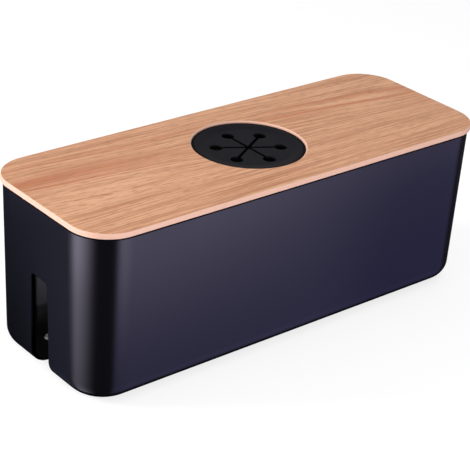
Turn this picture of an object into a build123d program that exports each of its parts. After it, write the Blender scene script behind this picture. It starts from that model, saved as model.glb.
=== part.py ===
"""Cable management box: a drafted ABS tub on four push-in feet, with a cable slot in each end, and a
veneered lift-off lid whose round silicone grommet lets cables out through six slit holes.

Millimetres, +Z up. The origin is on the floor under the middle of the box. X runs along the box, and the
front faces -Y. The left end is at -X."""

import os
from math import cos, radians, sin, tan

from build123d import *

# Lid board: wood veneer on a pale core, with a thin backing sheet underneath
lid_length = 320.0
lid_width = 118.0
lid_corner_radius = 26.0
veneer_thickness = 0.5
core_thickness = 3.0
backing_thickness = 0.3
lid_edge_radius = 0.8  # round-over of the lid's top edge
lid_under_chamfer = 0.25

# Tub
lid_end_overhang = 0.5  # how far the lid stands out past the tub's rim, at each end
lid_side_overhang = 1.2
tub_corner_radius = 27.0  # at the rim
tub_height = 112.0
draft_angle = 1.1  # degrees, the walls lean out towards the rim
wall = 2.4
bottom_edge_radius = 12.5
rim_edge_chamfer = 0.5

# Cable slot in each end, open at the bottom
slot_top_width = 16.0
slot_taper = 0.8  # degrees, each side of the slot leans out towards the floor
slot_height = 66.0  # top of the slot above the tub's underside
slot_top_radius = 2.5
slot_floor_reach = 1.5  # how far the slot runs on past the bottom edge's curve
slot_edge_radius = 1.1  # on the outside

# Push-in feet
foot_diameter = 16.0
foot_height = 1.5  # how far the feet lift the tub
foot_edge_chamfer = 0.5
foot_recess_depth = 0.7
foot_recess_clearance = 0.2
foot_end_inset = 25.0  # foot centre from the end of the tub's underside
foot_side_inset = 27.5
stem_diameter = 4.6
stem_clearance = 0.05
barb_diameter = 7.4
barb_height = 3.0
barb_tip_diameter = 3.4

# Lid frame: the moulding under the lid that rests on the rim and drops inside it
flange_thickness = 1.0
flange_setback = 0.9  # flange edge in from the tub's outside
plate_thickness = 1.2  # below the flange, inside the rim
frame_clearance = 0.6  # each side, between the frame and the inside of the rim
locating_rib_depth = 8.0
locating_rib_thickness = 2.0
frame_band_width = 14.0
window_corner_radius = 8.0
bridge_width = 60.0  # the bridge that crosses the frame from band to band
hub_radius = 45.0  # the round hub on the bridge, which carries the grommet
hub_rib_depth = 6.0
hub_rib_thickness = 2.0
hub_rib_gap = 0.8  # the hub's rib stands back this far from the grommet's hole

# Lid screws: countersunk, from below into the board
screw_diameter = 3.0
screw_head_diameter = 5.8
screw_length = 4.6
screw_pitch = 116.0  # along the lid, from the middle pair to the outer pairs
screw_recess_width = 0.8
screw_recess_span = 3.0
screw_recess_depth = 0.9

# Grommet and the hole it sits in
grommet_hole_diameter = 74.0
grommet_clearance = 0.3
grommet_chamfer = 0.8  # on the top edge of the lid's hole
grommet_sink = 1.9  # the grommet's rim below the lid's top
grommet_edge_chamfer = 0.5
grommet_ledge = 4.0  # how far the frame reaches in under the grommet's flange
spigot_clearance = 0.3
spigot_depth = 2.8  # below the flange
spigot_wall = 2.6
spigot_lead_in = 0.8
membrane_thickness = 2.0
dish_depth = 0.9  # the membrane lies this far below the grommet's rim
rim_land = 2.0
dish_slope_width = 7.5
cable_hole_diameter = 8.6
cable_hole_circle = 42.0
cable_hole_count = 6
cable_slit_width = 1.3
cable_hole_chamfer = 0.4

# Levels, from the floor up
tub_base_z = foot_height
rim_z = tub_base_z + tub_height
board_z = rim_z + flange_thickness
core_z = board_z + backing_thickness
veneer_z = core_z + core_thickness
lid_top_z = veneer_z + veneer_thickness
floor_z = tub_base_z + wall

# The tub's outline at its rim and at its underside
lean = tan(radians(draft_angle))
rim_half_length = lid_length / 2 - lid_end_overhang
rim_half_width = lid_width / 2 - lid_side_overhang
base_half_length = rim_half_length - tub_height * lean
base_half_width = rim_half_width - tub_height * lean

overcut = 1.0  # how far a cutter runs on past the face that it opens


def tub_outline(height, inset):
    """The tub's plan outline at a height above its underside, moved in by inset: a rounded rectangle."""
    grow = (height - tub_height) * lean - inset
    return RectangleRounded(
        2 * (rim_half_length + grow), 2 * (rim_half_width + grow), tub_corner_radius + grow
    )


def tub_prism(low, high, inset):
    """A drafted prism that follows the tub's walls, moved in by inset, between two heights above the underside."""
    prism = extrude(tub_outline(low, inset), high - low, taper=-draft_angle)
    return Pos(0, 0, tub_base_z + low) * prism


def hollow():
    """The space inside the tub's walls, whose bottom edges are rounded to keep the wall even."""
    space = tub_prism(wall, tub_height + overcut, wall)
    radius = max(bottom_edge_radius - wall, wall / 2)
    return fillet(space.edges().group_by(Axis.Z)[0], radius)


def slot_prism(end):
    """A prism along X that cuts the slot through one end wall (end is -1 or 1)."""
    half_top = slot_top_width / 2
    half_base = half_top + (slot_height + overcut) * tan(radians(slot_taper))
    top = slot_height + overcut
    profile = Polygon((-half_base, 0), (half_base, 0), (half_top, top), (-half_top, top), align=None)
    profile = fillet(profile.vertices().group_by(Axis.Y)[-1], slot_top_radius)
    plane = Plane((0, 0, tub_base_z - overcut), x_dir=(0, 1, 0), z_dir=(1, 0, 0))
    inner_x = base_half_length - bottom_edge_radius - slot_floor_reach
    length = rim_half_length - inner_x + overcut
    return Pos(end * (inner_x + length / 2), 0, 0) * (plane * extrude(profile, length / 2, both=True))


def foot_places():
    """Name and centre of each foot, on the floor."""
    x = base_half_length - foot_end_inset
    y = base_half_width - foot_side_inset
    return {
        "foot_front_left": (-x, -y),
        "foot_front_right": (x, -y),
        "foot_rear_left": (-x, y),
        "foot_rear_right": (x, y),
    }


def cut_slots(block, space):
    """Cut both slots through the solid block and round their edges where they meet its outside."""
    slots = [slot_prism(end) for end in (-1, 1)]
    cut = block - slots
    edges = new_edges(block, *slots, combined=cut)
    outer_edges = [edge for edge in edges if not space.is_inside(edge @ 0.5)]
    return fillet(outer_edges, slot_edge_radius)


def make_tub():
    block = fillet(tub_prism(0, tub_height, 0).edges().group_by(Axis.Z)[0], bottom_edge_radius)
    space = hollow()
    tub = cut_slots(block, space) - space
    tub = chamfer(tub.edges().group_by(Axis.Z)[-1], rim_edge_chamfer)
    for x, y in foot_places().values():
        recess = Cylinder(
            foot_diameter / 2 + foot_recess_clearance,
            foot_recess_depth + overcut,
            align=(Align.CENTER, Align.CENTER, Align.MIN),
        )
        hole = Cylinder(
            stem_diameter / 2 + stem_clearance,
            wall + 2 * overcut,
            align=(Align.CENTER, Align.CENTER, Align.MIN),
        )
        tub -= Pos(x, y, tub_base_z - overcut) * (recess + hole)
    return tub


def make_foot(x, y):
    """A turned profile: pad, stem through the floor, and a tapered barb above it."""
    pad, stem = foot_diameter / 2, stem_diameter / 2
    pad_top = tub_base_z + foot_recess_depth
    profile = Polyline(
        (0, 0),
        (pad, 0),
        (pad, pad_top),
        (stem, pad_top),
        (stem, floor_z),
        (barb_diameter / 2, floor_z),
        (barb_tip_diameter / 2, floor_z + barb_height),
        (0, floor_z + barb_height),
        close=True,
    )
    face = make_face(Plane.XZ * profile)
    foot = revolve(face, Axis.Z)
    foot = chamfer(foot.edges().filter_by(GeomType.CIRCLE).group_by(Axis.Z)[0], foot_edge_chamfer)
    return Pos(x, y, 0) * foot


def make_board():
    """The whole laminated board with its edges worked: it is cut into its three layers afterwards."""
    thickness = lid_top_z - board_z
    board = extrude(RectangleRounded(lid_length, lid_width, lid_corner_radius), thickness)
    board = fillet(board.edges().group_by(Axis.Z)[-1], lid_edge_radius)
    board = chamfer(board.edges().group_by(Axis.Z)[0], lid_under_chamfer)
    radius = grommet_hole_diameter / 2
    bore = Cylinder(radius, thickness + 2 * overcut)
    sink = Cone(radius, radius + grommet_chamfer + overcut, grommet_chamfer + overcut)
    board -= Pos(0, 0, thickness / 2) * bore
    board -= Pos(0, 0, thickness + (overcut - grommet_chamfer) / 2) * sink
    board = Pos(0, 0, board_z) * board
    for screw in screw_places():
        board -= make_screw_blank(*screw)
    return board


def layer(board, low, high):
    """The part of the board between two levels."""
    slab = Box(2 * lid_length, 2 * lid_width, high - low, align=(Align.CENTER, Align.CENTER, Align.MIN))
    return board & Pos(0, 0, low) * slab


def frame_edge():
    """Half length and half width of the frame's plate, at its outer edge inside the rim."""
    inset = wall + frame_clearance
    return rim_half_length - inset, rim_half_width - inset


def screw_places():
    """Centres of the lid's screws: three along the middle of each long side of the frame's band."""
    half_width = frame_edge()[1]
    y = half_width - frame_band_width / 2
    return [(column * screw_pitch, side * y) for column in (-1, 0, 1) for side in (-1, 1)]


def make_screw_blank(x, y):
    """A countersunk screw without its recess, head down, flush with the underside of the frame's plate."""
    head, shank = screw_head_diameter / 2, screw_diameter / 2
    under = rim_z - plate_thickness
    profile = Polyline(
        (0, under),
        (head, under),
        (shank, under + head - shank),
        (shank, under + screw_length),
        (0, under + screw_length),
        close=True,
    )
    return Pos(x, y, 0) * revolve(make_face(Plane.XZ * profile), Axis.Z)


def make_screws():
    under = rim_z - plate_thickness
    screws = []
    for x, y in screw_places():
        bar = Box(
            screw_recess_span,
            screw_recess_width,
            screw_recess_depth + overcut,
            align=(Align.CENTER, Align.CENTER, Align.MIN),
        )
        cross = Pos(x, y, under - overcut) * (bar + Rot(0, 0, 90) * bar)
        screws.append(make_screw_blank(x, y) - cross)
    return Compound(screws)


def make_lid_frame():
    frame = Pos(0, 0, rim_z) * extrude(tub_outline(tub_height, flange_setback), flange_thickness)
    inset = wall + frame_clearance
    frame += tub_prism(tub_height - plate_thickness, tub_height, inset)
    rib = tub_prism(tub_height - locating_rib_depth, tub_height, inset)
    rib -= tub_prism(
        tub_height - locating_rib_depth - overcut,
        tub_height + overcut,
        inset + locating_rib_thickness,
    )
    frame += rib
    half_length, half_width = frame_edge()
    window = RectangleRounded(
        2 * (half_length - frame_band_width),
        2 * (half_width - frame_band_width),
        window_corner_radius,
    )
    window -= [Circle(hub_radius), Rectangle(bridge_width, 2 * half_width)]
    depth = plate_thickness + flange_thickness + 2 * overcut
    frame -= Pos(0, 0, board_z + overcut - depth) * extrude(window, depth)
    hole_radius = grommet_hole_diameter / 2 - grommet_ledge
    rib_radius = hole_radius + hub_rib_gap
    hub_rib = Circle(rib_radius + hub_rib_thickness) - Circle(rib_radius)
    rib_base = rim_z - hub_rib_depth
    frame += Pos(0, 0, rib_base) * extrude(hub_rib, hub_rib_depth)
    frame -= Pos(0, 0, rim_z) * Cylinder(hole_radius, 2 * depth)
    for screw in screw_places():
        frame -= make_screw_blank(*screw)
    return frame


def make_grommet():
    """A turned silicone plug: flange, spigot and dished membrane, with holes and slits cut through."""
    flange_radius = grommet_hole_diameter / 2 - grommet_clearance
    spigot_radius = grommet_hole_diameter / 2 - grommet_ledge - spigot_clearance
    rim_top = lid_top_z - grommet_sink
    dish_top = rim_top - dish_depth
    dish_under = dish_top - membrane_thickness
    spigot_z = board_z - spigot_depth
    slope_outer = flange_radius - rim_land
    inner = spigot_radius - spigot_wall
    profile = Polyline(
        (0, dish_under),
        (inner, dish_under),
        (inner, spigot_z),
        (spigot_radius - spigot_lead_in / 2, spigot_z),
        (spigot_radius, spigot_z + spigot_lead_in),
        (spigot_radius, board_z),
        (flange_radius, board_z),
        (flange_radius, rim_top),
        (slope_outer, rim_top),
        (slope_outer - dish_slope_width, dish_top),
        (0, dish_top),
        close=True,
    )
    plug = revolve(make_face(Plane.XZ * profile), Axis.Z)
    top_circles = plug.edges().filter_by(GeomType.CIRCLE).group_by(Axis.Z)[-1]
    plug = chamfer(top_circles.sort_by(SortBy.RADIUS)[-1], grommet_edge_chamfer)
    step = 360 / cable_hole_count
    for turn in range(cable_hole_count):
        angle = radians(90 + turn * step)
        x, y = cable_hole_circle / 2 * cos(angle), cable_hole_circle / 2 * sin(angle)
        hole = Cylinder(cable_hole_diameter / 2, 2 * (spigot_depth + membrane_thickness + overcut))
        mouth_radius = cable_hole_diameter / 2 + cable_hole_chamfer + overcut
        mouth = Cone(cable_hole_diameter / 2, mouth_radius, cable_hole_chamfer + overcut)
        mouth_z = dish_top + (overcut - cable_hole_chamfer) / 2
        plug -= Pos(x, y, dish_top) * hole
        plug -= Pos(x, y, mouth_z) * mouth
        slit = Box(
            cable_hole_circle / 2,
            cable_slit_width,
            2 * (membrane_thickness + overcut),
            align=(Align.MIN, Align.CENTER, Align.CENTER),
        )
        plug -= Pos(0, 0, dish_top) * Rot(0, 0, 90 + turn * step) * slit
    return plug


def save(shape, name):
    export_step(shape, f"parts/{name}.step")


def main():
    os.makedirs("parts", exist_ok=True)
    save(make_tub(), "tub")
    for name, (x, y) in foot_places().items():
        save(make_foot(x, y), name)
    board = make_board()
    save(layer(board, board_z, core_z), "lid_backing_sheet")
    save(layer(board, core_z, veneer_z), "lid_core_board")
    save(layer(board, veneer_z, lid_top_z), "lid_wood_veneer")
    save(make_lid_frame(), "lid_frame")
    save(make_screws(), "lid_screws")
    save(make_grommet(), "cable_grommet")


main()
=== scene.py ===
# %% [markdown]
# # A cable management box
#
# The real box hides a power strip and its leads. It is a dark moulded tub on four rubber feet, with a slot
# in each end for the leads, and a lid of oak veneered board that lifts off. A soft silicone plug in the
# lid, the grommet, lets thin leads out through six slit holes.
#
# The construction model is already drawn to size, so it is loaded first, and it fixes every size and place.
# The hard pieces keep its meshes and get their finish here. The soft pieces, the grommet and the feet, are
# worked out again with numpy, because rounded lips are what makes rubber look soft.

from math import cos, pi, radians, sin, sqrt

import bmesh
import bpy
import numpy as np
from mathutils import Matrix, Vector


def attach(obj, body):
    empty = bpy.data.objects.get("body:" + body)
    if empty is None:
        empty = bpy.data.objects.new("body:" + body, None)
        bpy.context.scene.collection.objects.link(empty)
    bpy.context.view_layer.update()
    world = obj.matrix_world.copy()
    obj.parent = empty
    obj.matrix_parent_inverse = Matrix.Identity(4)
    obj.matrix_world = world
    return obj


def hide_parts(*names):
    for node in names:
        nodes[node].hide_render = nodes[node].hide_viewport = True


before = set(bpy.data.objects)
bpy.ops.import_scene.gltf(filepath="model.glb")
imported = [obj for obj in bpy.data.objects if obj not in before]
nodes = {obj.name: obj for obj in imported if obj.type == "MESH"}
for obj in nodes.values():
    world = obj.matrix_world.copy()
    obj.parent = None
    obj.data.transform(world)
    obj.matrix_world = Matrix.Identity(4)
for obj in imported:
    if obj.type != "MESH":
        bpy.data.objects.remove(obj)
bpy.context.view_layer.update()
print("pieces:", ", ".join(sorted(nodes)))

# %% [markdown]
# ## Camera
#
# A long lens from about a metre away keeps the box's long edges nearly parallel. Two angles turn the camera
# round the box, a third tilts the picture a little, and the camera is then moved back along its own line of
# sight. Building the matrix from three unit vectors shows what each angle does, which Blender's own
# Euler angles would hide.

# %% Place the camera
PICTURE_SIDE = 470  # pixels, the picture is square
FOCAL_LENGTH = 1585.2  # pixels
CAMERA_TURN = radians(-40.945)  # round the box from its front, to the left
CAMERA_RISE = radians(27.036)
CAMERA_ROLL = radians(3.829)
CAMERA_DISTANCE = 1.0672
AIM_SIDE = -0.00181  # the picture's centre, across from the middle of the tub's underside
AIM_UP = 0.04553
TUB_BASE = 0.0015


def place_camera():
    """The camera looks along `forward`; `across` and `upward` span the picture, turned by the roll."""
    forward = np.array(
        [-sin(CAMERA_TURN) * cos(CAMERA_RISE), cos(CAMERA_TURN) * cos(CAMERA_RISE), -sin(CAMERA_RISE)]
    )
    level = np.cross(forward, (0, 0, 1))
    level /= np.linalg.norm(level)
    upright = np.cross(level, forward)
    across = level * cos(CAMERA_ROLL) + upright * sin(CAMERA_ROLL)
    upward = upright * cos(CAMERA_ROLL) - level * sin(CAMERA_ROLL)
    place = across * AIM_SIDE + upward * AIM_UP - forward * CAMERA_DISTANCE
    place[2] += TUB_BASE
    turn = np.eye(4)
    turn[:3] = np.column_stack([across, upward, -forward, place])
    camera = bpy.data.objects.new("camera", bpy.data.cameras.new("camera"))
    camera.matrix_world = Matrix(turn.tolist())
    camera.data.sensor_width = 36
    camera.data.lens = FOCAL_LENGTH / PICTURE_SIDE * camera.data.sensor_width
    camera.data.clip_end = 50
    bpy.context.collection.objects.link(camera)
    bpy.context.scene.camera = camera
    return camera


camera = place_camera()
print("lens, mm:", round(camera.data.lens, 1))
print("camera, m:", [round(value, 3) for value in camera.matrix_world.translation])

# %% [markdown]
# ## Working with shader nodes
#
# Every finish below is a small network of shader nodes. Adding a node, setting its values and wiring it up
# are three jobs in Blender, so one helper does all three. Patterns read Object coordinates, which stay
# fixed to a piece when it moves, and are turned into millimetres so that each size can be read straight
# from the code.

# %% Helpers for shader nodes
def add_node(tree, kind, values=None, **settings):
    """Adds a node. A value that is another node's output is wired to that input, any other is set on it."""
    node = tree.nodes.new(kind)
    for name, setting in settings.items():
        setattr(node, name, setting)
    for key, value in (values or {}).items():
        if isinstance(value, bpy.types.NodeSocket):
            tree.links.new(value, node.inputs[key])
        else:
            node.inputs[key].default_value = value
    return node


def calculate(tree, operation, *values):
    """One sum on numbers, such as MULTIPLY or ADD."""
    return add_node(tree, "ShaderNodeMath", dict(enumerate(values)), operation=operation).outputs[0]


def fade(tree, value, start, end, low=0.0, high=1.0):
    """A smooth step: `low` where the value is below `start`, `high` where it is above `end`."""
    settings = {"Value": value, "From Min": start, "From Max": end, "To Min": low, "To Max": high}
    return add_node(tree, "ShaderNodeMapRange", settings, interpolation_type="SMOOTHSTEP").outputs[0]


def mix_colour(tree, share, first, second):
    """The first colour where the share is 0, the second where it is 1."""
    return add_node(tree, "ShaderNodeMix", {0: share, 6: first, 7: second}, data_type="RGBA").outputs[2]


def millimetres(tree):
    """Object coordinates times 1000."""
    place = add_node(tree, "ShaderNodeTexCoord").outputs["Object"]
    scale = {0: place, 1: (1000, 1000, 1000)}
    return add_node(tree, "ShaderNodeVectorMath", scale, operation="MULTIPLY").outputs[0]


def noise(tree, place, size, detail=2.0):
    """Noise from 0 to 1, with blobs as long as `size` gives in millimetres for x, y and z."""
    scale = {0: place, 1: [1 / length for length in size]}
    stretched = add_node(tree, "ShaderNodeVectorMath", scale, operation="MULTIPLY").outputs[0]
    settings = {"Vector": stretched, "Scale": 1.0, "Detail": detail}
    return add_node(tree, "ShaderNodeTexNoise", settings).outputs[0]


# %% Helpers for directions and masks
def split(tree, vector):
    """The x, y and z of a vector."""
    return add_node(tree, "ShaderNodeSeparateXYZ", {0: vector}).outputs


def facing(tree):
    """The x, y and z of the surface's normal, which tell which way it faces."""
    return split(tree, add_node(tree, "ShaderNodeTexCoord").outputs["Normal"])


def from_middle(tree, place):
    """Distance from the Z axis, which runs through the middle of the box."""
    x, y = split(tree, place)[:2]
    flat = add_node(tree, "ShaderNodeCombineXYZ", {0: x, 1: y}).outputs[0]
    return add_node(tree, "ShaderNodeVectorMath", {0: flat}, operation="LENGTH").outputs["Value"]


def combine(tree, operation, *values):
    """Works through any number of values from the left, as in (a * b) * c."""
    result = values[0]
    for value in values[1:]:
        result = calculate(tree, operation, result, value)
    return result


def bump(tree, height, depth):
    """A normal that makes the surface look raised by `depth` millimetres where the height is 1."""
    return add_node(tree, "ShaderNodeBump", {"Height": height, "Distance": depth / 1000}).outputs[0]


# %% Helpers for groups and materials
def new_group(name, inputs, outputs):
    """An empty shader node group. Inputs give a kind and a default value, outputs a kind."""
    group = bpy.data.node_groups.new(name, "ShaderNodeTree")
    for label, (kind, value) in inputs.items():
        socket = group.interface.new_socket(label, in_out="INPUT", socket_type=kind)
        socket.default_value = value
    for label, kind in outputs.items():
        group.interface.new_socket(label, in_out="OUTPUT", socket_type=kind)
    return group, add_node(group, "NodeGroupInput").outputs


def use_group(tree, group, values=None):
    """Places a group in a material and returns its outputs."""
    return add_node(tree, "ShaderNodeGroup", node_tree=group, values=values).outputs


def new_finish(name, **values):
    """A material with one Principled shader. What is the same all over is set on its own sockets."""
    material = bpy.data.materials.new(name)
    material.use_nodes = True
    tree = material.node_tree
    tree.nodes.clear()
    sockets = {label.replace("_", " "): value for label, value in values.items()}
    shader = add_node(tree, "ShaderNodeBsdfPrincipled", sockets)
    add_node(tree, "ShaderNodeOutputMaterial", {"Surface": shader.outputs[0]})
    return material, tree, shader


def feed(tree, shader, **outputs):
    """Wires outputs to the shader's inputs of the same name."""
    for label, output in outputs.items():
        tree.links.new(output, shader.inputs[label.replace("_", " ")])


def dress(piece, material):
    """Gives a piece one finish all over."""
    piece.data.materials.clear()
    piece.data.materials.append(material)
    print(piece.name, "is finished in", material.name)


# %% [markdown]
# ## Studio
#
# The box stands on a white sweep. White paper would have to be lit far more than the box to look
# white, so the floor and the sky glow for the rays that reach the camera directly, by reflection or through
# something clear. Far out the floor glows a little more, or its horizon would look grey against the sky.
#
# The box itself is lit by the plain soft sky and three flat lamps: a large one above, a softbox in front on
# the left, and one behind on the left that brightens the end of the lid. Soft light hardly reaches into
# an open slot, so two narrow lamps shine through the left one, on the inner wall and on the barb of a foot.

# %% Floor
FLOOR_REACH = 6.0
PAPER_GREY = (0.4, 0.4, 0.4, 1)
FLOOR_GLOW = {"start": 700.0, "end": 3000.0, "low": 0.7, "high": 0.84}  # from 700 to 3000 mm out


def glow_rays(tree):
    """1 for rays from the camera, or that were mirrored or came through something clear, else 0."""
    rays = add_node(tree, "ShaderNodeLightPath").outputs
    return combine(
        tree, "MAXIMUM", rays["Is Camera Ray"], rays["Is Glossy Ray"], rays["Is Transmission Ray"]
    )


def new_stage(name, points, faces):
    """A mesh that belongs to the studio, with an empty material tree."""
    mesh = bpy.data.meshes.new(name)
    mesh.from_pydata(points, [], faces)
    stage = bpy.data.objects.new(name, mesh)
    bpy.context.collection.objects.link(stage)
    material = bpy.data.materials.new(name)
    material.use_nodes = True
    material.node_tree.nodes.clear()
    mesh.materials.append(material)
    return stage, material.node_tree


def make_sheet(name, half_length, half_width, height):
    """A flat rectangle round the middle of the floor."""
    x, y, z = half_length, half_width, height
    return new_stage(name, [(-x, -y, z), (x, -y, z), (x, y, z), (-x, y, z)], [(0, 1, 2, 3)])


floor, tree = make_sheet("white_paper", half_length=FLOOR_REACH, half_width=FLOOR_REACH, height=0)
paper = add_node(tree, "ShaderNodeBsdfDiffuse", {"Color": PAPER_GREY}).outputs[0]
out = from_middle(tree, millimetres(tree))
strength = calculate(tree, "MULTIPLY", glow_rays(tree), fade(tree, out, **FLOOR_GLOW))
glow = add_node(tree, "ShaderNodeEmission", {"Strength": strength}).outputs[0]
both = add_node(tree, "ShaderNodeAddShader", {0: paper, 1: glow}).outputs[0]
add_node(tree, "ShaderNodeOutputMaterial", {"Surface": both})
print(floor.name, "reaches", FLOOR_REACH, "m each way")

# %% Sky
SKY_LEVEL = 0.42


def make_sky():
    """A plain sky: SKY_LEVEL as light, and 1, which is white, where it is seen."""
    world = bpy.data.worlds.new("studio")
    bpy.context.scene.world = world
    world.use_nodes = True
    tree = world.node_tree
    glow = calculate(tree, "MULTIPLY", glow_rays(tree), 1 - SKY_LEVEL)
    tree.links.new(calculate(tree, "ADD", glow, SKY_LEVEL), tree.nodes["Background"].inputs["Strength"])
    tree.nodes["Background"].inputs["Color"].default_value = (1, 1, 1, 1)


bpy.context.scene.view_settings.view_transform = "Standard"
make_sky()
print("sky:", SKY_LEVEL, "as light, 1 where it is seen")

# %% Lamps
BOX_MIDDLE = (0, 0, 0.08)
NARROW_LAMP_PLACE = (-0.74, -0.862, 0.545)
NARROW_LAMP_RADIUS = 0.02
SOFT_EDGE = 0.25  # share of a narrow lamp's light in which it fades
SLOT_MIDDLE = (-0.158, 0.0, 0.0705)
REAR_BARB = (-0.1323, 0.0281, 0.0065)


def add_lamp(name, kind, place, target, power):
    """A lamp that shines from `place` at `target`. In Blender, light leaves a lamp along its own -Z."""
    lamp = bpy.data.objects.new(name, bpy.data.lights.new(name, kind))
    lamp.data.energy = power
    lamp.location = place
    towards = Vector(target) - Vector(place)
    lamp.rotation_euler = towards.to_track_quat("-Z", "Y").to_euler()
    lamp.visible_camera = False
    bpy.context.collection.objects.link(lamp)
    print(name, round(power, 2), "W")
    return lamp.data


def add_flat_lamp(name, place, size, radiance):
    """A flat lamp that faces the box. One of size a by b and radiance R gives off pi a b R watts."""
    lamp = add_lamp(name, "AREA", place, BOX_MIDDLE, pi * size[0] * size[1] * radiance)
    lamp.shape = "RECTANGLE"
    lamp.size, lamp.size_y = size


def add_narrow_lamp(name, target, width, power):
    """A lamp in front on the left whose light is `width` degrees wide."""
    lamp = add_lamp(name, "SPOT", NARROW_LAMP_PLACE, target, power)
    lamp.spot_size = radians(width)
    lamp.spot_blend = SOFT_EDGE
    lamp.shadow_soft_size = NARROW_LAMP_RADIUS


add_flat_lamp("top_lamp", place=(0.2, -0.3, 1.3), size=(1.0, 1.0), radiance=0.7)
add_flat_lamp("softbox", place=(-0.45, -1.1, 0.62), size=(0.5, 0.5), radiance=11.1)
add_flat_lamp("left_lamp", place=(-1.0, 0.72, 0.42), size=(0.5, 0.5), radiance=20.0)
add_narrow_lamp("slot_spot", target=SLOT_MIDDLE, width=2.4, power=47.0)
add_narrow_lamp("barb_spot", target=REAR_BARB, width=0.9, power=52.0)

# %% [markdown]
# ## What the dark walls mirror
#
# A dark, polished wall looks like what it mirrors. Seen from above, it mirrors the table beside it, and
# white paper would turn it grey. So a black card lies on the table, with small glowing sheets on it
# where the wall should shine. Both are seen in reflections only.
#
# The glowing sheet is worked out backwards. A grid is laid over the tub's wall, round the corner and
# up its height, and the camera's ray to each point is mirrored down to the table. The brightness
# wanted at that point of the wall is given to the point of the sheet that it mirrors. A second sheet, turned
# half round, does the same for the two sides behind.

# %% Grid over the walls
WALL_LEAN = radians(1.1)
RIM_LEVEL = 0.1135
CORNER_RADIUS = 0.027  # at the rim
CORNER_X = 0.1325
CORNER_Y = 0.0308
GRID_LOW = 0.003
GRID_HIGH = 0.13  # above the rim, so that the sheet has no edge in view
GRID_ROWS = 28


def wall_grid():
    """Stations round the left end and the front: the corner's centre, and the angle from -X towards -Y.

    On a flat wall the centre slides and the angle stays, on a corner the angle turns and the centre stays.
    Each run is a number of stations at even steps from one (x, y, degrees) to another."""
    x, y = CORNER_X, CORNER_Y
    runs = [
        (20, (-x, y, -38), (-x, y, -2)),
        (12, (-x, y, 0), (-x, -y, 0)),
        (46, (-x, -y, 1), (-x, -y, 89)),
        (30, (-x, -y, 90), (x, -y, 90)),
        (24, (x, -y, 92), (x, -y, 136)),
    ]
    stations = np.vstack([np.linspace(start, end, count) for count, start, end in runs])
    return stations.T[:, None, :]


centre_x, centre_y, turn = wall_grid()
height = np.linspace(GRID_LOW, GRID_HIGH, GRID_ROWS)[:, None]
print("grid:", height.size, "by", turn.size)

# %% Mirror the grid onto the table
SHEET_LEVEL = 0.004


def mirror_to_table():
    """A ray v that meets a wall with normal n goes on as v - 2 (v . n) n, until it reaches the sheet."""
    radius = CORNER_RADIUS - (RIM_LEVEL - height) * np.tan(WALL_LEAN)
    angle = np.radians(turn)
    flat = np.ones_like(height)
    out_x, out_y = -np.cos(angle) * flat, -np.sin(angle) * flat
    wall = np.stack([centre_x + radius * out_x, centre_y + radius * out_y, height + 0 * out_x], axis=2)
    lean = np.full_like(out_x, -np.tan(WALL_LEAN))
    normal = np.stack([out_x, out_y, lean], axis=2) * cos(WALL_LEAN)
    ray = wall - np.array(camera.matrix_world.translation)
    mirrored = ray - 2 * np.sum(ray * normal, axis=2, keepdims=True) * normal
    reach = (SHEET_LEVEL - wall[:, :, 2:]) / mirrored[:, :, 2:]
    return wall + reach * mirrored


points = mirror_to_table()
spans = np.ptp(points.reshape(-1, 3), axis=0)
print("the sheet spans, mm:", (1000 * spans[:2]).round())


# %% Brightness wanted on the walls
def smooth(value, start, end):
    """0 before `start`, 1 after `end`, and s^2 (3 - 2 s) between."""
    share = np.clip((value - start) / (end - start), 0, 1)
    return share**2 * (3 - 2 * share)


def wanted_glow():
    """Products of smooth steps along the wall, by `turn` in degrees and by the corner's centre, and up it,
    by `level`, which is 1 at the rim. Each term is one patch of light, and their sum is the brightness."""
    level = height / RIM_LEVEL
    # The bright ridge on the round corner, stronger towards the rim.
    ridge = smooth(turn, 3, 18) * (1 - smooth(turn, 19, 46))
    ridge = ridge * (0.245 + 0.5 * level + 0.42 * smooth(level, 0.65, 1.0))
    # The front: even ground, light that falls in from the upper left, and a band under the lid.
    front = smooth(turn, 65, 75) * (1 - smooth(turn, 92, 106)) * smooth(level, 0, 0.08)
    ground = 0.34 - 0.13 * smooth(centre_x, 0.0, 0.09)
    fall = level**2 * (0.14 + 0.92 * (1 - smooth(centre_x, -0.16, 0.11)))
    under_lid = 0.28 * smooth(level, 0.84, 1.0) * smooth(centre_x, -0.12, -0.08)
    # A crest where the corner runs into the front.
    crest = smooth(turn, 68, 77) * (1 - smooth(turn, 80, 90)) * level**2
    # The left end, dim and blue, with less light at the back.
    forward = smooth(-centre_y, -0.03, 0.03)
    end = (0.7 + 0.34 * level) * (0.015 + 0.11 * forward) + 0.05 * level**2 * (1 - forward)
    end = end * smooth(turn, -30, 0) * (1 - smooth(turn, 0, 12))
    plain = 0.03 * smooth(turn, 2, 12) + 3.3 * ridge + front * (ground + fall + under_lid)
    plain = plain + 0.8 * crest
    red = plain + end
    green = 0.93 * plain + 1.05 * end
    blue = 1.2 * plain + 0.28 * front + 1.8 * end
    return np.stack([red, green, blue, np.ones_like(plain)], axis=2)


brightness = wanted_glow()
print("brightest:", brightness.max().round(2))

# %% Card and glowing sheets
CARD_BLACK = (0.01, 0.01, 0.01, 1)


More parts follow.
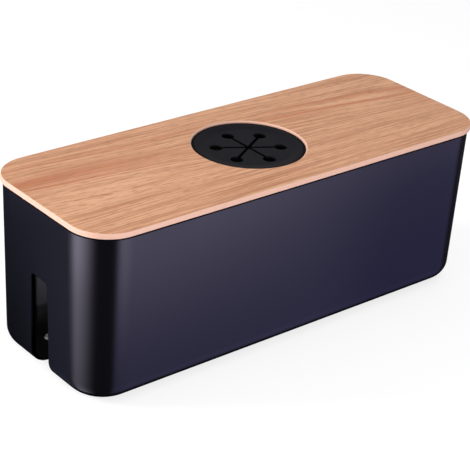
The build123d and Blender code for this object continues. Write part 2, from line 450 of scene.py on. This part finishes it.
def make_glowing_sheet(name, points, lift):
    """The mirrored grid as a mesh, raised by `lift`. Each of its points keeps its brightness as a colour."""
    rows, columns = points.shape[:2]
    corner = np.arange(rows * columns).reshape(rows, columns)
    faces = np.stack([corner[:-1, :-1], corner[:-1, 1:], corner[1:, 1:], corner[1:, :-1]], axis=2)
    lifted = points.reshape(-1, 3) + np.array([0, 0, lift])
    sheet, tree = new_stage(name, lifted.tolist(), faces.reshape(-1, 4).tolist())
    glow = sheet.data.color_attributes.new("glow", "FLOAT_COLOR", "POINT")
    glow.data.foreach_set("color", brightness.astype(np.float32).ravel())
    colour = add_node(tree, "ShaderNodeAttribute", attribute_name="glow").outputs["Color"]
    light = add_node(tree, "ShaderNodeEmission", {"Color": colour, "Strength": 1.0})
    add_node(tree, "ShaderNodeOutputMaterial", {"Surface": light.outputs[0]})
    return sheet


def show_in_mirrors_only(stage):
    """Mirrored rays see the stage piece, all others pass through it, and it throws no shadow."""
    stage.visible_camera = False
    stage.visible_diffuse = False
    stage.visible_transmission = False
    stage.visible_volume_scatter = False
    stage.visible_shadow = False


card, tree = make_sheet("black_card", half_length=0.75, half_width=0.65, height=0.002)
black = add_node(tree, "ShaderNodeBsdfDiffuse", {"Color": CARD_BLACK})
add_node(tree, "ShaderNodeOutputMaterial", {"Surface": black.outputs[0]})
front_sheet = make_glowing_sheet("front_sheet", points, lift=0)
half_round = np.array([-1, -1, 1])
rear_sheet = make_glowing_sheet("rear_sheet", points * half_round, lift=-0.001)
for stage in (card, front_sheet, rear_sheet):
    show_in_mirrors_only(stage)
    print(stage.name, "shows in reflections only")

# %% [markdown]
# ## Shared effects
#
# Two effects turn up on nearly every piece, so each is a node group that is built once. The moulded skin
# is what plastic and rubber pick up from their mould: long shallow ripples where the melt
# cooled, and a fine grain from the tool's spark-eroded steel. The use marks are what handling and a shelf
# add: faint smudges that change the gloss, and a little dust on what faces up.

# %% Moulded skin
def make_moulded_skin():
    """Ripple and grain are noise with blobs of the given size, times the given depth, in millimetres."""
    inputs = {
        "Ripple Size": ("NodeSocketFloat", 12.0),
        "Ripple Depth": ("NodeSocketFloat", 0.01),
        "Grain Size": ("NodeSocketFloat", 0.4),
        "Grain Depth": ("NodeSocketFloat", 0.002),
    }
    tree, given = new_group("moulded_skin", inputs, {"Normal": "NodeSocketVector"})
    place = millimetres(tree)
    heights = []
    for kind in ("Ripple", "Grain"):
        scale = calculate(tree, "DIVIDE", 1.0, given[f"{kind} Size"])
        pattern = add_node(tree, "ShaderNodeTexNoise", {"Vector": place, "Scale": scale, "Detail": 1.0})
        heights.append(calculate(tree, "MULTIPLY", pattern.outputs[0], given[f"{kind} Depth"]))
    add_node(tree, "NodeGroupOutput", {"Normal": bump(tree, calculate(tree, "ADD", *heights), 1.0)})
    return tree


moulded_skin = make_moulded_skin()
print(moulded_skin.name, "takes", [socket.name for socket in moulded_skin.interface.items_tree][1:])

# %% Use marks
DUST_GREY = (0.45, 0.43, 0.4, 1)
DUST_ROUGHNESS = 0.4


def make_use_marks():
    """Dust lies where the surface faces up, in specks inside soft drifts. Smudges only change the gloss."""
    inputs = {
        "Color": ("NodeSocketColor", (0.5, 0.5, 0.5, 1)),
        "Dust": ("NodeSocketFloat", 0.1),
        "Roughness": ("NodeSocketFloat", 0.4),
        "Smudge": ("NodeSocketFloat", 0.05),
    }
    outputs = {"Color": "NodeSocketColor", "Roughness": "NodeSocketFloat"}
    tree, given = new_group("use_marks", inputs, outputs)
    place = millimetres(tree)
    upward = facing(tree)[2]
    drift = fade(tree, noise(tree, place, (30, 30, 30)), 0.4, 0.7)
    speck = fade(tree, noise(tree, place, (0.9, 0.9, 0.9)), 0.6, 0.72)
    lying = calculate(tree, "MULTIPLY", fade(tree, upward, 0.5, 0.9), given["Dust"])
    spread = calculate(tree, "MULTIPLY_ADD", speck, drift, calculate(tree, "MULTIPLY", drift, 0.25))
    dust = calculate(tree, "MULTIPLY", lying, spread)
    colour = mix_colour(tree, dust, given["Color"], DUST_GREY)
    smudge = calculate(tree, "SUBTRACT", noise(tree, place, (22, 22, 35), 4.0), 0.5)
    marked = calculate(tree, "MULTIPLY_ADD", smudge, given["Smudge"], given["Roughness"])
    roughness = calculate(tree, "MULTIPLY_ADD", dust, DUST_ROUGHNESS, marked)
    add_node(tree, "NodeGroupOutput", {"Color": colour, "Roughness": roughness})
    return tree


use_marks = make_use_marks()
print(use_marks.name, "gives", [socket.name for socket in use_marks.interface.items_tree][:2])


# %% Helpers that place the shared effects
def skin_normal(tree, ripple, grain):
    """The moulded skin's normal. Ripple and grain are each a size and a depth in millimetres."""
    sizes = {"Ripple Size": ripple[0], "Grain Size": grain[0]}
    depths = {"Ripple Depth": ripple[1], "Grain Depth": grain[1]}
    return use_group(tree, moulded_skin, sizes | depths)["Normal"]


def feed_marked(tree, shader, colour, roughness, dust, smudge, normal):
    """Adds the use marks to a colour and a roughness, and wires them to the shader with a normal."""
    values = {"Color": colour, "Dust": dust, "Roughness": roughness, "Smudge": smudge}
    marked = use_group(tree, use_marks, values)
    feed(tree, shader, Base_Color=marked["Color"], Roughness=marked["Roughness"], Normal=normal)


# %% [markdown]
# ## Oak veneer
#
# The top of the lid is a thin sheet of oak. A tree's yearly rings are nearly round shells. A flat cut
# along the trunk meets them as long lines, and where it runs just inside a shell, as a wide warm band.
#
# All lines therefore follow one warped height across the grain, which leans slowly in the rear half and
# waves a little. Noise of that height, stretched far along the grain, gives the colour bands, the thin
# dark lines between rings, the streaks and the short open pores. They share the warp, so they run
# together as in real wood. Pale flecks gather round one place on the left.

# %% The warped height across the grain
REAR_LEAN = 0.12
BACK_EASE = 0.065
WAVE_HEIGHT = 5.0
FLECK_PLACE = (-112.0, -4.0)
FLECK_SIZE = (55.0, 13.0)


def grain_place(tree, place):
    """Swaps y for y' = y + lean * x + wave. Returns the new place and y'.

    The lean is nothing at the front, grows to REAR_LEAN just behind the middle and eases at the back."""
    x, y, z = split(tree, place)
    rear = fade(tree, y, -40.0, 8.0, 0.0, REAR_LEAN)
    lean = calculate(tree, "SUBTRACT", rear, fade(tree, y, 14.0, 36.0, 0.0, BACK_EASE))
    wave = calculate(tree, "SUBTRACT", noise(tree, place, (110, 30, 30), 1.0), 0.5)
    leaning = calculate(tree, "MULTIPLY_ADD", lean, x, y)
    warped = calculate(tree, "MULTIPLY_ADD", wave, WAVE_HEIGHT, leaning)
    return add_node(tree, "ShaderNodeCombineXYZ", {0: x, 1: warped, 2: z}).outputs[0], warped


def fleck_patch(tree, place):
    """A bell curve exp(-(a^2 + b^2)), where a and b are the distances from its middle over its sizes."""
    x, y = split(tree, place)[:2]
    far_x = calculate(tree, "DIVIDE", calculate(tree, "SUBTRACT", x, FLECK_PLACE[0]), FLECK_SIZE[0])
    far_y = calculate(tree, "DIVIDE", calculate(tree, "SUBTRACT", y, FLECK_PLACE[1]), FLECK_SIZE[1])
    square = calculate(tree, "MULTIPLY_ADD", far_x, far_x, calculate(tree, "MULTIPLY", far_y, far_y))
    return calculate(tree, "EXPONENT", calculate(tree, "MULTIPLY", square, -1.0))


# %% Oak's colours
OAK_LIGHT = (0.755, 0.41, 0.242, 1)
OAK_PALE = (0.66, 0.342, 0.192, 1)
OAK_WARM = (0.49, 0.212, 0.105, 1)
OAK_HEART = (0.53, 0.195, 0.09, 1)
OAK_LINE = (0.37, 0.14, 0.065, 1)
OAK_PORE = (0.25, 0.10, 0.05, 1)
OAK_EDGE = (0.74, 0.47, 0.36, 1)


def ring_band(tree, height, middle, half_width, strength, where=1.0):
    """`strength` in the middle of a band of warped height, 0 from its half width on."""
    far = calculate(tree, "ABSOLUTE", calculate(tree, "SUBTRACT", height, middle))
    return calculate(tree, "MULTIPLY", fade(tree, far, 0.0, half_width, strength, 0.0), where)


def heart_bands(tree, x, height):
    """The warm bands: a wide one and its edge on the left, a narrow one at the back, one on the right."""
    left = fade(tree, x, -165.0, 0.0, 1.3, 0.0)
    right = fade(tree, x, -20.0, 40.0)
    heart = ring_band(tree, height, middle=9.0, half_width=15.0, strength=0.8, where=left)
    edge = ring_band(tree, height, middle=-2.5, half_width=2.6, strength=0.75, where=left)
    rear = ring_band(tree, height, middle=35.5, half_width=2.4, strength=0.7)
    side = ring_band(tree, height, middle=27.7, half_width=3.0, strength=0.9, where=right)
    return combine(tree, "MAXIMUM", heart, edge, rear, side)


def oak_colour(tree, plain, place, height, fibre, pore):
    """Laid over each other: broad tone, streaks, fibres, pale flecks, warm bands, ring lines, pores."""
    tone = fade(tree, noise(tree, place, (300, 15, 15), 1.5), 0.36, 0.66, 0.0, 0.45)
    colour = mix_colour(tree, tone, OAK_PALE, OAK_WARM)
    streak = fade(tree, noise(tree, place, (210, 1.7, 1.7), 2.0), 0.4, 0.6, 0.0, 0.85)
    colour = mix_colour(tree, streak, colour, OAK_WARM)
    colour = mix_colour(tree, fade(tree, fibre, 0.42, 0.6, 0.0, 0.85), colour, OAK_LIGHT)
    fleck = fade(tree, noise(tree, place, (18, 1.2, 1.2), 2.0), 0.42, 0.6)
    fleck = calculate(tree, "MULTIPLY", fleck, fleck_patch(tree, plain))
    colour = mix_colour(tree, fleck, colour, OAK_LIGHT)
    colour = mix_colour(tree, heart_bands(tree, split(tree, place)[0], height), colour, OAK_HEART)
    ring = calculate(tree, "SUBTRACT", noise(tree, place, (420, 9, 9), 2.0), 0.5)
    line = fade(tree, calculate(tree, "ABSOLUTE", ring), 0.0, 0.03, 0.4, 0.0)
    colour = mix_colour(tree, line, colour, OAK_LINE)
    return mix_colour(tree, calculate(tree, "MULTIPLY", pore, 0.4), colour, OAK_PORE)


# %% Oak
PORE_DEPTH = -0.04
FIBRE_HEIGHT = 0.012


def make_oak():
    """Satin oak. The rounded edge is paler, since it cuts the fibres across."""
    material, tree, shader = new_finish("oak_veneer", Specular_IOR_Level=0.2)
    plain = millimetres(tree)
    place, height = grain_place(tree, plain)
    fibre = noise(tree, place, (75, 1.3, 1.3), 2.0)
    pore = fade(tree, noise(tree, place, (9, 0.8, 0.8), 1.0), 0.54, 0.68)
    colour = oak_colour(tree, plain, place, height, fibre, pore)
    colour = mix_colour(tree, fade(tree, facing(tree)[2], 0.72, 0.97, 1.0, 0.0), colour, OAK_EDGE)
    raised = calculate(tree, "MULTIPLY", fibre, FIBRE_HEIGHT)
    relief = bump(tree, calculate(tree, "MULTIPLY_ADD", pore, PORE_DEPTH, raised), 1.0)
    feed_marked(tree, shader, colour, roughness=0.5, dust=0.0, smudge=0.08, normal=relief)
    return material


dress(nodes["lid_wood_veneer"], make_oak())

# %% [markdown]
# ## Board and backing sheet
#
# The board under the veneer is pale pressed fibre with a clear coat. Its sawn edge shows all round the
# lid: very fine fibres that lie flat, with a few darker specks. Below it is a plain backing sheet, which
# keeps the board from bowing, in a dull brown. Both are the same pattern in other colours, so one function
# makes them.

# %% Pressed fibre board
BOARD_PALE = (0.97, 0.61, 0.485, 1)
BOARD_DARK = (0.82, 0.455, 0.335, 1)
BACKING_PALE = (0.14, 0.08, 0.07, 1)
BACKING_DARK = (0.08, 0.045, 0.04, 1)
HOLE_EDGE = 40.0  # a little more than the radius of the hole in the lid


def make_board_edge(name, pale, dark, rough, gloss):
    """Fibres are noise squashed to a quarter of a millimetre in height, specks are rarer and rounder.

    Round the hole the sawn edge is painted darker, as shade."""
    material, tree, shader = new_finish(name, Specular_IOR_Level=gloss)
    place = millimetres(tree)
    fibre = noise(tree, place, (2.5, 2.5, 0.25), 2.0)
    speck = fade(tree, noise(tree, place, (0.8, 0.8, 0.5), 1.0), 0.64, 0.72)
    cloud = calculate(tree, "MULTIPLY", noise(tree, place, (28, 28, 2.5), 2.0), 0.3)
    share = calculate(tree, "MULTIPLY_ADD", fade(tree, fibre, 0.35, 0.7), 0.35, cloud)
    share = calculate(tree, "MULTIPLY_ADD", speck, 0.4, share)
    # Painted shade: the sawn edge inside the lid's hole is darkened.
    hole_edge_shade = [0.6 * value for value in dark[:3]] + [1]
    in_hole = fade(tree, from_middle(tree, place), HOLE_EDGE - 1, HOLE_EDGE + 1, 0.65, 0.0)
    colour = mix_colour(tree, in_hole, mix_colour(tree, share, pale, dark), hole_edge_shade)
    feed_marked(tree, shader, colour, rough, dust=0.02, smudge=0.06, normal=bump(tree, fibre, 0.01))
    return material


board_edge = make_board_edge("board_edge", BOARD_PALE, BOARD_DARK, rough=0.45, gloss=0.25)
backing = make_board_edge("backing_laminate", BACKING_PALE, BACKING_DARK, rough=0.6, gloss=0.05)
dress(nodes["lid_core_board"], board_edge)
dress(nodes["lid_backing_sheet"], backing)

# %% [markdown]
# ## Tub
#
# The tub is moulded in blue-black plastic. Outside it has a satin polish, which has two looks at once: a
# nearly black body and a soft mirror over it. Inside nobody polished the mould, so the walls are matt.
# Inside, painted light makes the walls paler and painted shade makes the floor darker. The walls lean
# outwards, so their inner faces look up a little and their outer faces down, and the normal alone tells the
# two apart.
#
# The rim and the lips of the slots would mirror the white studio as thin bright lines. A metal mirrors in
# its own colour, so a black one mirrors nothing, and these faces are mixed to black metal. That is
# painted shade: the rim in the gap under the lid, and the lips along the slots' edges.

# %% Where the tub is matt or mirrors nothing
# Each pair is where a mask starts to change and where it ends, in millimetres.
INNER_WALL_TOP = (109.0, 111.0)
RIM = (112.0, 112.8)
SLOT_TOP = (70.0, 72.0)
SLOT_SIDE = (10.5, 11.5)
END_WALL = (150.0, 153.0)


def rim_mask(tree, level, upward):
    """1 on the rim's chamfer, which is high up and faces up."""
    return calculate(tree, "MULTIPLY", fade(tree, upward, 0.2, 0.5), fade(tree, level, *RIM))


def slot_mask(tree, place, sideways, upward):
    """1 on the lips of the slots: in the end walls, by the middle, and facing sideways or down."""
    x, y, level = split(tree, place)
    in_end = fade(tree, calculate(tree, "ABSOLUTE", x), *END_WALL)
    in_middle = fade(tree, calculate(tree, "ABSOLUTE", y), *SLOT_SIDE, 1.0, 0.0)
    low = fade(tree, level, *SLOT_TOP, 1.0, 0.0)
    side = fade(tree, calculate(tree, "ABSOLUTE", sideways), 0.1, 0.4)
    facing_down = fade(tree, upward, -0.4, -0.1, 1.0, 0.0)
    top = calculate(tree, "MULTIPLY", facing_down, fade(tree, level, 55.0, 60.0))
    return combine(tree, "MULTIPLY", in_end, in_middle, low, calculate(tree, "MAXIMUM", side, top))


# %% Satin plastic
TUB_OUTSIDE = (0.003, 0.0029, 0.0045, 1)
INNER_WALL_PAINTED_LIGHT = (0.052, 0.05, 0.061, 1)
INNER_FLOOR_PAINTED_SHADE = (0.004, 0.004, 0.0045, 1)
POLISHED = 0.2
MATT_MORE = 0.4


def make_satin_plastic():
    """Polished outside and matt inside, with black metal on the rim and the slots' lips.

    Inside, the walls are painted lighter as light and the floor darker as shade. The black metal is painted
    shade.
    """
    material, tree, shader = new_finish("satin_plastic", Specular_IOR_Level=0.5)
    place = millimetres(tree)
    sideways, upward = facing(tree)[1:]
    level = split(tree, place)[2]
    matt = fade(tree, upward, 0.004, 0.014)
    inside = calculate(tree, "MULTIPLY", matt, fade(tree, level, *INNER_WALL_TOP, 1.0, 0.0))
    # Painted light on the inner walls, painted shade on the inner floor.
    painted_inside = mix_colour(tree, fade(tree, upward, 0.05, 0.25), INNER_WALL_PAINTED_LIGHT, INNER_FLOOR_PAINTED_SHADE)
    body = mix_colour(tree, inside, TUB_OUTSIDE, painted_inside)
    rough = calculate(tree, "MULTIPLY_ADD", matt, MATT_MORE, POLISHED)
    skin = skin_normal(tree, ripple=(16.0, 0.008), grain=(0.35, 0.0006))
    feed_marked(tree, shader, body, rough, dust=0.004, smudge=0.04, normal=skin)
    # Painted shade: the rim and the slots' lips turn to black metal, which mirrors nothing.
    on_rim = rim_mask(tree, level, upward)
    on_lip = slot_mask(tree, place, sideways, upward)
    feed(tree, shader, Metallic=calculate(tree, "MAXIMUM", on_rim, on_lip))
    return material


dress(nodes["tub"], make_satin_plastic())

# %% [markdown]
# ## Lid frame and screws
#
# The frame under the lid is the same plastic with a matt, spark-eroded skin, since nobody polishes a
# tool for a face that stays hidden. Its shine is turned nearly off, and its colour kept near black, as
# painted shade in the gap under the lid. The six screws that hold it to the board are zinc plated, with
# fine crossed scratches.

# %% Matt plastic
FRAME_BLACK_IN_GAP_SHADE = (0.007, 0.007, 0.008, 1)


def make_matt_plastic():
    """One colour and almost no shine, as painted shade in the gap under the lid, with a grainy matt skin."""
    # Painted shade in the gap under the lid: a near-black colour and almost no specular.
    material, tree, shader = new_finish("matt_plastic", Specular_IOR_Level=0.02)
    skin = skin_normal(tree, ripple=(20.0, 0.01), grain=(0.3, 0.008))
    feed_marked(tree, shader, FRAME_BLACK_IN_GAP_SHADE, roughness=0.75, dust=0.01, smudge=0.08, normal=skin)
    return material


dress(nodes["lid_frame"], make_matt_plastic())

# %% Zinc
ZINC_DULL = (0.5, 0.49, 0.47, 1)
ZINC_BRIGHT = (0.68, 0.67, 0.64, 1)


def make_zinc():
    """Two noises drawn out along X and along Y are multiplied, which looks like crossed scratches."""
    material, tree, shader = new_finish("zinc_plate", Metallic=1.0)
    place = millimetres(tree)
    scratch = noise(tree, place, (1.5, 0.06, 1.5), 2.0)
    crossed = calculate(tree, "MULTIPLY", scratch, noise(tree, place, (0.06, 1.5, 1.5), 2.0))
    colour = mix_colour(tree, fade(tree, crossed, 0.15, 0.4), ZINC_DULL, ZINC_BRIGHT)
    relief = bump(tree, crossed, 0.01)
    feed_marked(tree, shader, colour, roughness=0.32, dust=0.0, smudge=0.1, normal=relief)
    return material


dress(nodes["lid_screws"], make_zinc())

# %% [markdown]
# ## Surfaces from numpy
#
# A turned piece is a profile carried round a circle, and any strip of surface is a grid of points whose
# rows follow each other. The grid's faces are found once for whole arrays. A profile is drawn with plain
# corners and then softened: each corner P gives way to the curve B(s) = (1-s)^2 A + 2 s (1-s) P + s^2 C,
# where A and C lie on its two sides.

# %% Helpers for surfaces
MM = 0.001


def soften(corners, reach, steps=6):
    """Replaces every corner but the two ends by a curve that starts and ends `reach` away from it."""
    corners = np.array(corners, float)
    reach = np.array(reach, float)[:, None]
    before, corner, after = corners[:-2], corners[1:-1], corners[2:]
    back = before - corner
    ahead = after - corner
    start = corner + back / np.linalg.norm(back, axis=1, keepdims=True) * reach
    end = corner + ahead / np.linalg.norm(ahead, axis=1, keepdims=True) * reach
    s = np.linspace(0, 1, steps)[:, None, None]
    curve = (1 - s) ** 2 * start + 2 * s * (1 - s) * corner + s**2 * end
    return np.vstack([corners[:1], curve.transpose(1, 0, 2).reshape(-1, 2), corners[-1:]])


def turn_profile(profile, count, first_angle=0.0):
    """Rows of points: (radius, height) at `count` angles gives (r cos a, r sin a, height)."""
    angle = first_angle + 2 * pi * np.arange(count) / count
    radius, height = np.array(profile)[:, :1], np.array(profile)[:, 1:]
    rows = [radius * np.cos(angle), radius * np.sin(angle), height + 0 * angle]
    return np.stack(rows, axis=2)


def grid_faces(row_count, column_count, first=0):
    """Four-sided faces between neighbouring rows. The last column joins the first."""
    row = np.arange(row_count - 1)[:, None] * column_count
    column = np.arange(column_count)[None, :]
    following = (column + 1) % column_count
    corners = [row + column, row + following, row + column_count + following, row + column_count + column]
    return (first + np.stack(corners, axis=2).reshape(-1, 4)).tolist()


def new_piece(name, points, faces, body, replaced):
    """A closed mesh from points in millimetres. Doubled points are merged, then the faces turn outwards."""
    mesh = bpy.data.meshes.new(name)
    mesh.from_pydata((np.asarray(points).reshape(-1, 3) * MM).tolist(), [], faces)
    shell = bmesh.new()
    shell.from_mesh(mesh)
    bmesh.ops.remove_doubles(shell, verts=shell.verts, dist=1e-7)
    bmesh.ops.recalc_face_normals(shell, faces=shell.faces)
    shell.to_mesh(mesh)
    shell.free()
    corner_count = np.empty(len(mesh.polygons), np.int32)
    mesh.polygons.foreach_get("loop_total", corner_count)
    mesh.polygons.foreach_set("use_smooth", corner_count <= 4)
    piece = bpy.data.objects.new(name, mesh)
    bpy.context.collection.objects.link(piece)
    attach(piece, body)
    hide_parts(replaced)
    print(name, len(mesh.polygons), "faces")
    return piece


# %% [markdown]
# ## Grommet
#
# The grommet is one soft moulding: a disc with a raised rim, a spigot below it that grips the lid, and a
# star of six slits that end in round holes. The six petals between them give way when a lead is pushed
# through. Cutting the star out of a disc would leave knife edges, and silicone never has those.
#
# So the star's outline is a function of how far it is moved into the rubber. Carried down a section with
# rounded lips, it makes the wall of the opening. The rim, the spigot and the underside are one turned
# profile. Between the two, each petal is one flat face.

# %% The star's outline
HOLE_CIRCLE = 21.0  # from the centre to each hole's centre
HOLE_RADIUS = 4.3
SLIT_HALF = 1.05
ARM_COUNT = 6
SIDE_STEPS = 8
ROUND_STEPS = 24


def half_arm(inset):
    """From the petal's tip, along the slit's side to the hole, and round it to its outermost point.

    Points are complex numbers, with the arm along the real axis. Two slits meet at 60 degrees, so the tip
    is sqrt(3) half widths out. The side meets the hole where the hole's circle is one half width high."""
    half = SLIT_HALF + inset
    radius = HOLE_RADIUS + inset
    meeting = HOLE_CIRCLE - sqrt(radius**2 - half**2)
    side = np.linspace(sqrt(3) * half, meeting, SIDE_STEPS, endpoint=False) + 1j * half
    angle = np.linspace(np.arctan2(half, meeting - HOLE_CIRCLE), 0, ROUND_STEPS)
    return np.concatenate([side, HOLE_CIRCLE + radius * np.exp(1j * angle)])


def star_outline(inset, height):
    """Each arm runs out on its right side and back on its left, and is turned to its place."""
    left = half_arm(inset)
    arm = np.concatenate([left.conj()[:-1], left[::-1][:-1]])
    turns = np.exp(1j * (pi / 2 + 2 * pi * np.arange(ARM_COUNT) / ARM_COUNT))
    loop = (turns[:, None] * arm[None, :]).ravel()
    return np.column_stack([loop.real, loop.imag, np.full(loop.size, height)])


print("points round the star:", len(star_outline(0, 0)))

# %% The grommet's opening
DISH_TOP = 116.0
DISH_UNDER = 113.5
LIP = 0.25  # radius of the rounded lips
LIP_STEPS = 6

quarter = np.linspace(0, pi / 2, LIP_STEPS)
under_lip = np.column_stack([LIP * (1 - np.sin(quarter)), DISH_UNDER + LIP * (1 - np.cos(quarter))])
upper_lip = np.column_stack([LIP * (1 - np.cos(quarter)), DISH_TOP - LIP * (1 - np.sin(quarter))])
opening = np.stack([star_outline(inset, level) for inset, level in np.vstack([under_lip, upper_lip])])
print("rows in the opening:", len(opening))

# %% The grommet's rim
RIM_TOP = 117.1
SEAT = 114.5  # the level of the frame that the rim rests on
SPIGOT_END = 111.7
RIM_RADIUS = 36.7
SPIGOT_RADIUS = 32.7
SPIGOT_INSIDE = 30.1
DISH_RADIUS = 27.2  # the flat of the dish, from which its slope rises
SLOPE_WIDTH = 7.5
SLOPE_STEPS = 9
SECTOR_STEPS = 36

rise = np.linspace(0, 1, SLOPE_STEPS)
slope_level = DISH_TOP + (RIM_TOP - DISH_TOP) * rise**2 * (3 - 2 * rise)
dish_slope = np.column_stack([DISH_RADIUS + SLOPE_WIDTH * rise, slope_level])
rim_corners = [
    dish_slope[-1],
    (RIM_RADIUS, RIM_TOP),
    (RIM_RADIUS, SEAT),
    (SPIGOT_RADIUS, SEAT),
    (SPIGOT_RADIUS, SPIGOT_END),
    (SPIGOT_INSIDE, SPIGOT_END),
    (SPIGOT_INSIDE, DISH_UNDER),
    (SPIGOT_INSIDE - 1, DISH_UNDER),
]
rim_reach = [0.6, 0.2, 0.2, 0.7, 0.4, 0.5]
rim_profile = np.vstack([dish_slope, soften(rim_corners, rim_reach)[1:]])
rim = turn_profile(rim_profile, ARM_COUNT * SECTOR_STEPS, pi / 2)
print("rows from the dish over the rim to the underside:", len(rim))


# %% Petals and the finished grommet
def petal_faces(star_start, circle_start):
    """One flat face per petal.

    It goes round the star from one hole's outermost point to the next, and back on the circle."""
    star_size = opening.shape[1]
    arm_size = star_size // ARM_COUNT
    petals = []
    for number in range(ARM_COUNT):
        first = number * arm_size + arm_size // 2
        along = star_start + (first + np.arange(arm_size + 1)) % star_size
        back = (number + 1) * SECTOR_STEPS - np.arange(SECTOR_STEPS + 1)
        petals.append([*along.tolist(), *(circle_start + back % rim.shape[1]).tolist()])
    return petals


def make_grommet():
    """The wall of the opening and the turned rim, joined above and below by the petals' flat faces."""
    rim_start = opening.shape[0] * opening.shape[1]
    last_star = rim_start - opening.shape[1]
    last_circle = rim_start + (rim.shape[0] - 1) * rim.shape[1]
    faces = grid_faces(*opening.shape[:2]) + grid_faces(*rim.shape[:2], rim_start)
    faces += petal_faces(last_star, rim_start) + petal_faces(0, last_circle)
    points = np.vstack([opening.reshape(-1, 3), rim.reshape(-1, 3)])
    return new_piece("grommet_silicone", points, faces, "grommet", "cable_grommet")


grommet = make_grommet()

# %% Silicone
SILICONE_BLACK = (0.0102, 0.0102, 0.013, 1)
SILICONE_PAINTED_SHADE = (0.0015, 0.0012, 0.001, 1)


def make_silicone():
    """Matt black, with painted shade down in the slits and holes and on the rounded outer edge of the rim.

    The painted shade starts just below the dish in the slits, and deeper down in the wider holes."""
    material, tree, shader = new_finish("silicone", Specular_IOR_Level=0.02)
    place = millimetres(tree)
    level = split(tree, place)[2]
    radius = from_middle(tree, place)
    hole_start = HOLE_CIRCLE - HOLE_RADIUS
    # Painted shade: the slits, the holes and the rim's outer edge are darkened.
    in_slit = fade(tree, level, DISH_TOP - 0.35, DISH_TOP - 0.05, 1.0, 0.0)
    in_hole = fade(tree, level, DISH_TOP - 1.3, DISH_TOP - 0.4, 1.0, 0.0)
    among_holes = fade(tree, radius, hole_start - 1, hole_start + 1)
    deep = add_node(tree, "ShaderNodeMix", {0: among_holes, 2: in_slit, 3: in_hole}).outputs[0]
    outer_edge = fade(tree, radius, RIM_RADIUS - 2.1, RIM_RADIUS - 1.3)
    dark = calculate(tree, "MAXIMUM", deep, outer_edge)
    body = mix_colour(tree, dark, SILICONE_BLACK, SILICONE_PAINTED_SHADE)
    skin = skin_normal(tree, ripple=(9.0, 0.02), grain=(0.25, 0.006))
    feed_marked(tree, shader, body, roughness=0.6, dust=0.01, smudge=0.1, normal=skin)
    return material


dress(grommet, make_silicone())

# %% [markdown]
# ## Feet
#
# Each foot is a pale rubber button. Its pad grips the table with two raised rings, its stem goes up through
# a hole in the tub, and a soft barb holds it there. It is a lathe shape, so one softened profile
# gives all of it, four times.

# %% The four feet
FOOT_X = 132.349
FOOT_Y = 28.149
FOOT_SIDES = {"front_left": (-1, -1), "front_right": (1, -1), "rear_left": (-1, 1), "rear_right": (1, 1)}
FOOT_STEPS = 56
FOOT_CORNERS = [
    (0, 0.35),
    (2.4, 0.35),
    (2.8, 0),
    (4.2, 0),
    (4.5, 0.3),
    (5.1, 0.3),
    (5.4, 0),
    (8.0, 0),
    (8.0, 2.2),
    (2.3, 2.2),
    (2.3, 3.9),
    (3.3, 3.9),
    (1.6, 6.7),
    (0, 6.7),
]
FOOT_REACH = [0.15, 0.15, 0.15, 0.12, 0.12, 0.15, 0.6, 0.3, 0.2, 0.15, 0.4, 0.5]


def make_feet():
    """The softened profile (radius, height), turned once and moved to four places."""
    rows = turn_profile(soften(FOOT_CORNERS, FOOT_REACH), FOOT_STEPS)
    faces = grid_faces(*rows.shape[:2])
    feet = []
    for place, (side_x, side_y) in FOOT_SIDES.items():
        points = rows + np.array([side_x * FOOT_X, side_y * FOOT_Y, 0])
        feet.append(new_piece(f"{place}_button", points, faces, "tub", f"foot_{place}"))
    return feet


feet = make_feet()

# %% Pale rubber
RUBBER_PALE = (0.60, 0.59, 0.56, 1)
RUBBER_DARK = (0.48, 0.47, 0.44, 1)


def make_rubber():
    """Cloudy pale rubber with a fine grain."""
    material, tree, shader = new_finish("pale_rubber", Specular_IOR_Level=0.3)
    cloud = noise(tree, millimetres(tree), (4, 4, 4), 3.0)
    colour = mix_colour(tree, cloud, RUBBER_PALE, RUBBER_DARK)
    skin = skin_normal(tree, ripple=(5.0, 0.01), grain=(0.3, 0.006))
    feed_marked(tree, shader, colour, roughness=0.6, dust=0.1, smudge=0.1, normal=skin)
    return material


rubber = make_rubber()
for foot in feet:
    dress(foot, rubber)
